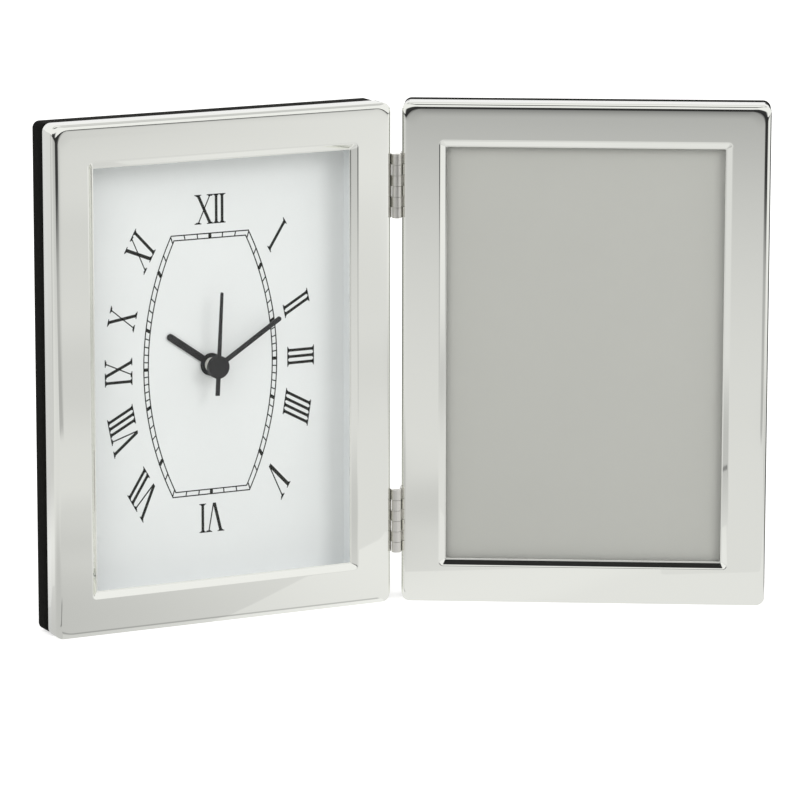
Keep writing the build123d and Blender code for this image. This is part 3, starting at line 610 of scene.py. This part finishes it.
# %% [markdown]
# The dial print is ink on card, far too thin for the CAD model. Each stroke is
# one cube squeezed and sheared into a slanted bar a few hundredths of a
# millimetre thick. On this barrel-shaped dial a numeral's strokes point at the
# centre, while its serifs run along the nearest side of the minute track, so a
# numeral lives on two axes that aren't square to each other.

# %% Dial face and bars
DIAL_FRONT, INK = 8.1 * MM, 30 * MICRON


def on_dial(x, z):
    """A point of the dial's face, from millimetres off the hands' centre."""
    return Vector((x * MM, DIAL_FRONT, CENTRE_HEIGHT + z * MM))


def bar(bm, corner, side, up):
    """A flat slanted box: a corner on the dial and two edges in millimetres."""
    axes = [Vector((side[0], 0, side[1])) * MM, Vector((0, -INK, 0)),
            Vector((up[0], 0, up[1])) * MM]
    sheared = Matrix.Identity(4)
    for column, axis in enumerate(axes):
        for row in range(3):
            sheared[row][column] = axis[row]
    middle = on_dial(*corner) + (axes[0] + axes[1] + axes[2]) / 2
    bmesh.ops.create_cube(bm, size=1.0, matrix=Matrix.Translation(middle) @ sheared)


print("dial face at", DIAL_FRONT, "and the hands' centre at", CENTRE_HEIGHT)

# %% [markdown]
# The numerals need three letters only. I is one thick stroke, V and X pair a
# thick stroke with a hairline, and every free end wears a thin serif with a
# short thicker foot under it. Widths along the serif line were read from the
# photograph: 2.6 mm for one stroke, 2.25 mm from stroke to stroke and 7.3 mm
# for V and X. The two strokes of a V meet a little to the right of its middle.

# %% Letters of the numerals, in millimetres
CAP, THICK, THIN, SERIF, SERIF_FOOT = 10.35, 1.0, 0.45, 0.32, 1.6
PITCH, STROKE_SPAN, WIDE_SPAN = 2.25, 2.6, 7.3
SLANTED = 1.15 * THICK
V_LEFT_FOOT, V_RIGHT_FOOT = 0.15, 0.45


def letter_strokes(letter, start):
    """Strokes as (low place, high place, width) and serif centres (place, level)."""
    if letter == "I":
        middle = start + STROKE_SPAN / 2
        return [(middle, middle, THICK)], [(middle, 0), (middle, 1)]
    left, right = start + STROKE_SPAN / 2, start + WIDE_SPAN - STROKE_SPAN / 2
    if letter == "X":
        return ([(right, left, SLANTED), (left, right, THIN)],
                [(left, 0), (right, 0), (left, 1), (right, 1)])
    middle = (left + right) / 2
    return ([(middle + V_LEFT_FOOT, left, SLANTED), (middle + V_RIGHT_FOOT, right, THIN)],
            [(left, 1), (right, 1)])


def numeral(bm, text, centre, stroke_angle, serif_angle):
    """One numeral at its centre, with strokes and serifs on their own axes."""
    lean = abs(math.sin(math.radians(stroke_angle - serif_angle)))
    up = Matrix.Rotation(math.radians(stroke_angle), 2) @ Vector((1, 0)) / lean
    side = Matrix.Rotation(math.radians(serif_angle), 2) @ Vector((1, 0))
    spans = [STROKE_SPAN if letter == "I" else WIDE_SPAN for letter in text]
    overlap = STROKE_SPAN - PITCH
    total, start = sum(spans) - overlap * (len(text) - 1), 0.0
    origin = Vector(centre) - side * total / 2 - up * CAP / 2
    for letter, span in zip(text, spans):
        strokes, serifs = letter_strokes(letter, start)
        for low, high, width in strokes:
            corner = origin + side * (low - width / lean / 2)
            bar(bm, corner, side * width / lean, up * CAP + side * (high - low))
        for place, level in serifs:
            corner = origin + side * (place - STROKE_SPAN / 2) + up * level * (CAP - SERIF)
            bar(bm, corner, side * STROKE_SPAN, up * SERIF)
            corner = origin + side * (place - SERIF_FOOT / 2) + up * level * (CAP - 2 * SERIF)
            bar(bm, corner, side * SERIF_FOOT, up * SERIF * 2)
        start += span - overlap


# %% [markdown]
# Each numeral is its text, its centre in millimetres off the hands, and two
# angles in degrees: where its strokes point and where its serifs run. They
# were read from the photograph after the dial's face was laid flat.

# %% Twelve numerals
NUMERALS = [
    ("XII", (0.1, 54.6), 90, 0), ("I", (25.7, 43.6), 58, -60), ("II", (33.0, 18.9), 30, -78),
    ("III", (34.7, 0), 0, -90), ("IIII", (33.2, -18.2), -28, -99), ("V", (25.7, -42.9), -58, -120),
    ("VI", (0.1, -54.6), -90, 180), ("VII", (-26.0, -43.9), -122, 120),
    ("VIII", (-33.3, -20.8), -152, 101), ("IX", (-34.9, 0), 180, 90),
    ("X", (-33.3, 18.6), 164, 77), ("XI", (-26.5, 41.6), 133, 62),
]

ink = Finish("dial_ink", "#22231F", roughness=0.6, specular_ior_level=0.2)
ink.set("Base Color", ink.mix(ink.noise(900, detail=4), linear("#1B1C19"), linear("#292A26")))
bm = bmesh.new()
for text, centre, stroke_angle, serif_angle in NUMERALS:
    numeral(bm, text, centre, stroke_angle, serif_angle)
finished("dial_numerals", bm, ink, "clock_leaf")


# %% [markdown]
# The minute track is a barrel: flat at the top and bottom, with two long arcs
# at the sides. Two hairlines follow it 2 mm apart and 60 ticks cross between
# them, each pointing at the centre. A tick's ends are where its ray meets the
# outline, and that is one division for the flats and one root for the arcs.

# %% Outline of the minute track, in millimetres
HALF_WIDTH, CORNER_X, HALF_HEIGHT = 25.6, 14.8, 46.3
BAND, LINE, FIVE_MINUTE = 2.1, 0.4, 1.15
MINUTES, ARC_STEPS = 60, 48
RISE = HALF_WIDTH - CORNER_X
ARC = (HALF_HEIGHT ** 2 + RISE ** 2) / (2 * RISE)
ARC_CENTRE = HALF_WIDTH - ARC


def reach(angle, inset):
    """How far a ray from the centre runs to the outline moved in by inset."""
    x, z = abs(math.sin(angle)), abs(math.cos(angle))
    b = x * ARC_CENTRE
    side = b + math.sqrt(b * b + (ARC - inset) ** 2 - ARC_CENTRE ** 2)
    return min(side, (HALF_HEIGHT - inset) / max(z, 1e-6))


print("radius of the side arcs", round(ARC, 1), "mm")


# %% Hairlines and ticks
def hairline(bm, inset):
    """The closed outline at one inset: two flat bars and two spun arcs."""
    top, radius = HALF_HEIGHT - inset, ARC - inset
    half = math.asin((top - LINE / 2) / radius)
    wide = radius * math.cos(half) + ARC_CENTRE
    for level in (top - LINE, -top):
        bar(bm, (-wide, level), (2 * wide, 0), (0, LINE))
    for side in (1, -1):
        centre = on_dial(side * ARC_CENTRE, 0)
        made = bmesh.ops.create_grid(bm, x_segments=1, y_segments=1, size=0.5)["verts"]
        for vert in made:
            across = ARC_CENTRE + radius - LINE / 2 + LINE * vert.co.x
            behind = Vector((0, INK * (vert.co.y - 0.5), 0))
            vert.co = on_dial(side * across, 0) + behind
        turn = Matrix.Rotation(half, 3, "Y")
        bmesh.ops.rotate(bm, verts=made, cent=centre, matrix=turn)
        face = made[0].link_faces[0]
        bmesh.ops.spin(bm, geom=[face, *face.verts, *face.edges], cent=centre,
                       axis=(0, -1, 0), angle=2 * half, steps=ARC_STEPS)


bm = bmesh.new()
for inset in (0.0, BAND - LINE):
    hairline(bm, inset)
for minute in range(MINUTES):
    angle = 2 * math.pi * minute / MINUTES
    width = FIVE_MINUTE if minute % 5 == 0 else LINE
    near, far = reach(angle, BAND - LINE / 2), reach(angle, LINE / 2)
    out = Vector((math.sin(angle), math.cos(angle)))
    across = Vector((math.cos(angle), -math.sin(angle)))
    bar(bm, out * near - across * width / 2, across * width, out * (far - near))
finished("minute_track", bm, ink, "clock_leaf")

# %% [markdown]
# The room is a studio of white and grey. To the camera the floor is plain
# white with a soft shadow. Polished silver mirrors it, and shows at each
# height a place further away: what is seen h mm above the foot lies about
# 1750 h / (430 - h) mm in front. So the floor has a second tone of painted
# light and shade that only mirrored rays see, and its change along the floor
# becomes painted shading on each frame from its bottom to its top. It is
# written in metres east and north.

# %% Floor plane
GROUND_SIZE = 60
bpy.ops.mesh.primitive_plane_add(size=GROUND_SIZE, location=(0, 0, 0))
ground = bpy.context.object
ground.name = "floor"
floor = Finish("pale_floor", "#E6E6E4", roughness=0.9, specular_ior_level=0.0)
here = floor.node("TexCoord", output="Object")
east = floor.node("SeparateXYZ", {}, {0: here}, output=0)
north = floor.node("SeparateXYZ", {}, {0: here}, output=1)
print("floor", GROUND_SIZE, "m wide")


# %% [markdown]
# Forwards the floor falls off into grey, which makes the mirrors read as
# metal. Four soft pools on it, three darker ones of painted shade and one a
# little lighter of painted light, shade the flats as the photograph has them.

# %% Slope and pools of tone
FLOOR_TONE, FALL_OFF, FORWARDS = 0.71, 0.2, (-0.42, -0.9)
EAST_GAIN, EAST_RAMP = 0.13, (0.3, 0.6)
POOLS = [  # east, north, inner radius, outer radius, change of tone
    (-0.11, -0.05, 0.03, 0.20, -0.20), (0.14, -0.42, 0.03, 0.16, -0.07),
    (0.36, -0.95, 0.05, 0.20, 0.06), (0.015, -0.165, 0.02, 0.07, -0.07),
]


def away_from(x, y):
    """How far each floor point is from one place."""
    kind = {"operation": "DISTANCE"}
    return floor.node("VectorMath", kind, {0: here, 1: (x, y, 0)}, output=1)


front = (FORWARDS[0] * east + FORWARDS[1] * north).apply("MAXIMUM", 0.0)
tone = FLOOR_TONE - FALL_OFF * front * front + EAST_GAIN * east.step(*EAST_RAMP)
for x, y, inner, outer, change in POOLS:
    tone = tone + change * (1 - away_from(x, y).step(inner, outer))
print("pools on the floor", len(POOLS))

# %% [markdown]
# A patch of painted light lies under the frames. Its front edge is sharp, and
# each flat mirrors it as the clear line near its bottom: slanting on the clock
# leaf, level on the photo leaf. North of the frames, where only their outer
# edges look, the floor carries painted shade, which grows lighter again far away.

# %% Edge of the painted light patch
LIGHT_PATCH_ACROSS, LIGHT_PATCH_START, LIGHT_PATCH_SOFT = (0.639, 0.769), -0.0063, 0.0006
LIGHT_PATCH_JOG, JOG_RAMP = 0.0145, (0.115, 0.125)
LIGHT_PATCH_GAIN, LIGHT_PATCH_LOSS, LOSS_RAMP = 0.075, 0.025, (0.1, 0.12)
BACK_LOSS, BACK_RAMP, FAR_GAIN, FAR_RAMP = 0.19, (0.12, 0.26), 0.07, (0.4, 0.7)
# Painted light: a brighter patch in the floor's mirrored tone, with a sharp front edge.
light_patch = east * LIGHT_PATCH_ACROSS[0] + north * LIGHT_PATCH_ACROSS[1] - LIGHT_PATCH_START
light_patch = light_patch - LIGHT_PATCH_JOG * east.step(*JOG_RAMP)
gain = LIGHT_PATCH_GAIN - LIGHT_PATCH_LOSS * east.step(*LOSS_RAMP)
tone = tone + gain * light_patch.step(-LIGHT_PATCH_SOFT, LIGHT_PATCH_SOFT)
tone = tone - BACK_LOSS * north.step(*BACK_RAMP) + FAR_GAIN * north.step(*FAR_RAMP)
print("sheet edge crosses the middle", round(LIGHT_PATCH_START / LIGHT_PATCH_ACROSS[1], 4), "m north")

# %% [markdown]
# The thin dark lines along the rounded edges are painted reflection: two dark
# fans in the floor's mirrored tone.
# One opens to the east from the photo leaf's outer foot and is squeezed into
# that leaf's outline. The other opens forwards between the two strips that the
# flats mirror: a flat never shows it, but every edge that turns away from one
# strip towards the other does, and it is darkest furthest off. The side fan's
# opening is the cosine off its aim, and the front fan's is a slant, east per
# metre forwards.

# %% Dark fans
SIDE_FOOT, SIDE_AIM, SIDE_START = (0.17, -0.06), (0.914, 0.407), 0.131
SIDE_OPENING, SIDE_RAMP, SIDE_DARK = (0.72, 0.80), (0.02, 0.04), 0.75
FAN_TIP, FAN_SLANTS, FAN_RAMP = (0.058, -0.3), (-0.52, -0.46, 0.34, 0.40), (0.01, 0.05)
FAN_DARK, FAN_MORE, FAN_FAR = 0.35, 0.58, (0.35, 0.7)
past = away_from(*SIDE_FOOT)
inside = (east * SIDE_AIM[0] + north * SIDE_AIM[1] - SIDE_START) / past
side_fan = inside.step(*SIDE_OPENING) * past.step(*SIDE_RAMP)
tone = tone * (1 - SIDE_DARK * side_fan)
ahead = FAN_TIP[1] - north
slant = (east - FAN_TIP[0]) / ahead.apply("MAXIMUM", FAN_RAMP[0])
fan = slant.band(*FAN_SLANTS) * ahead.step(*FAN_RAMP)
tone = tone * (1 - fan * (FAN_DARK + FAN_MORE * ahead.step(*FAN_FAR)))
print("fans start at", SIDE_FOOT, "and", FAN_TIP)

# %% [markdown]
# Close to the foot three small things are left: a thin dark line a few
# millimetres in front of the clock leaf, with a paler strip behind it; a
# darker field to the east; and a short dark streak that runs forwards from the
# clock leaf's outer corner, which draws the line beside that corner.

# %% Lines near the foot
CLOCK_END, END_SOFT, FAR_OUT = 0.064, 0.002, 10
FOOT_LINE, LINE_DARK = (0.0035, 0.0045, 0.0055, 0.0075), 0.35
FOOT_STRIP, STRIP_GAIN = (0.002, 0.0035), 0.08
FIELD_LOSS, FIELD_EAST, FIELD_NORTH = 0.16, (0.22, 0.35), (-0.5, -0.3)
STREAK_SLANT, STREAK_PLACE, STREAK_DARK = 0.4236, 0.0645, 0.6
STREAK_ACROSS, STREAK_ALONG = (-0.014, -0.011, -0.006, -0.003), (-0.068, -0.05, -0.024, -0.018)
past_east = east.step(CLOCK_END - END_SOFT, CLOCK_END)
past_west = 1 - east.step(-CLOCK_END, END_SOFT - CLOCK_END)
before_clock = 0 - LEAF_FRONT - north + FAR_OUT * (past_east + past_west)
# Painted shadow: the dark foot line stands for the contact shadow at the clock leaf's foot.
tone = tone * (1 - LINE_DARK * before_clock.band(*FOOT_LINE))
tone = tone + STRIP_GAIN * (1 - before_clock.step(*FOOT_STRIP))
tone = tone - FIELD_LOSS * east.step(*FIELD_EAST) * north.step(*FIELD_NORTH)
streak = (east + north * STREAK_SLANT + STREAK_PLACE).band(*STREAK_ACROSS)
tone = tone * (1 - STREAK_DARK * streak * north.band(*STREAK_ALONG))
print("foot line in front of", -LEAF_FRONT, "m north")

# %% [markdown]
# The tones were read off the silver, so what silver swallows is divided out.
# Mirrored rays see the tone as plain light. All other rays meet a matt floor,
# which glows a little to the camera and through glass, but not for soft light.

# %% Two looks of one floor
SILVER_LIGHT, DARKEST, GLOW = 0.925, 0.03, 0.6
tone = (tone / SILVER_LIGHT).apply("MAXIMUM", DARKEST)
seen = floor.node("LightPath", output="Is Camera Ray")
through = floor.node("LightPath", output="Is Transmission Ray")
mirrored = floor.node("LightPath", output="Is Glossy Ray")
floor.set("Emission Color", floor.mix(seen + through, BLACK, (GLOW, GLOW, GLOW, 1)))
floor.set("Emission Strength", 1.0)
glow = floor.node("Emission", {}, {"Color": floor.mix(tone, BLACK, WHITE)})
matt = Value(floor, floor.shader.outputs[0])
both = floor.node("MixShader", {}, {0: mirrored, 1: matt, 2: glow})
floor.fill(floor.tree.nodes["Material Output"].inputs["Surface"], both)
ground.data.materials.append(floor.owner)
print("floor", floor.owner.name)

# %% [markdown]
# The world is white to the camera and an even grey for soft light. What the
# silver mirrors is the studio itself: white walls, a grey ceiling between the
# lamps, and the dark side where the camera stands, low down and again high up.
# Heights are the z of the direction that a ray looks in, from 0 to 1.

# %% World
ROOM_TONE, CEILING_LOSS, CEILING = 0.92, 0.30, (0.76, 0.80, 0.90, 0.94)
CAMERA_SIDE, SIDE_WIDTH, SIDE_LOSS = (-0.546, -0.837), (0.80, 0.93), 0.96
DARK_LOW, DARK_HIGH, SOFT_LIGHT = (0.16, 0.26), (0.79, 0.82, 0.93, 0.95), 0.86
world = bpy.data.worlds.new("studio")
bpy.context.scene.world = world
sky = Finish("studio", owner=world)
aim = sky.node("TexCoord", output="Generated")
x, y, z = [sky.node("SeparateXYZ", {}, {0: aim}, output=i) for i in range(3)]
level = (1.0001 - z * z) ** 0.5
facing = (CAMERA_SIDE[0] * x + CAMERA_SIDE[1] * y) / level
dark = facing.step(*SIDE_WIDTH) * (1 - z.step(*DARK_LOW) + z.band(*DARK_HIGH))
room = (ROOM_TONE - CEILING_LOSS * z.band(*CEILING)) * (1 - SIDE_LOSS * dark)
mirrored = sky.node("LightPath", output="Is Glossy Ray")
lit = sky.node("LightPath", output="Is Diffuse Ray")
plain = sky.mix(lit, WHITE, (SOFT_LIGHT, SOFT_LIGHT, SOFT_LIGHT, 1))
studio = sky.mix(room, BLACK, WHITE)
background = sky.tree.nodes["Background"]
sky.fill(background.inputs["Color"], sky.mix(mirrored, plain, studio))
print("world", world.name)

# %% [markdown]
# One soft lamp stands to the right, in front and above. It throws the hands'
# soft shadows down to the left. A weaker and larger one fills in from the left.

# %% Lamps
FRAMES_MIDDLE = Vector((0.03, 0, 0.09))


def lamp(name, place, size, power):
    """A square soft lamp that points at the middle of the frames."""
    data = bpy.data.lights.new(name, "AREA")
    data.shape, data.size, data.energy = "SQUARE", size, power
    made = bpy.data.objects.new(name, data)
    bpy.context.scene.collection.objects.link(made)
    made.location = place
    made.rotation_euler = (FRAMES_MIDDLE - Vector(place)).to_track_quat("-Z", "Y").to_euler()
    made.visible_glossy = False
    print(name, place, power, "W")


lamp("key_lamp", (0.6, -1.6, 1.0), size=0.8, power=7.5)
lamp("fill_lamp", (-1.2, -1.1, 1.2), size=1.2, power=4.5)
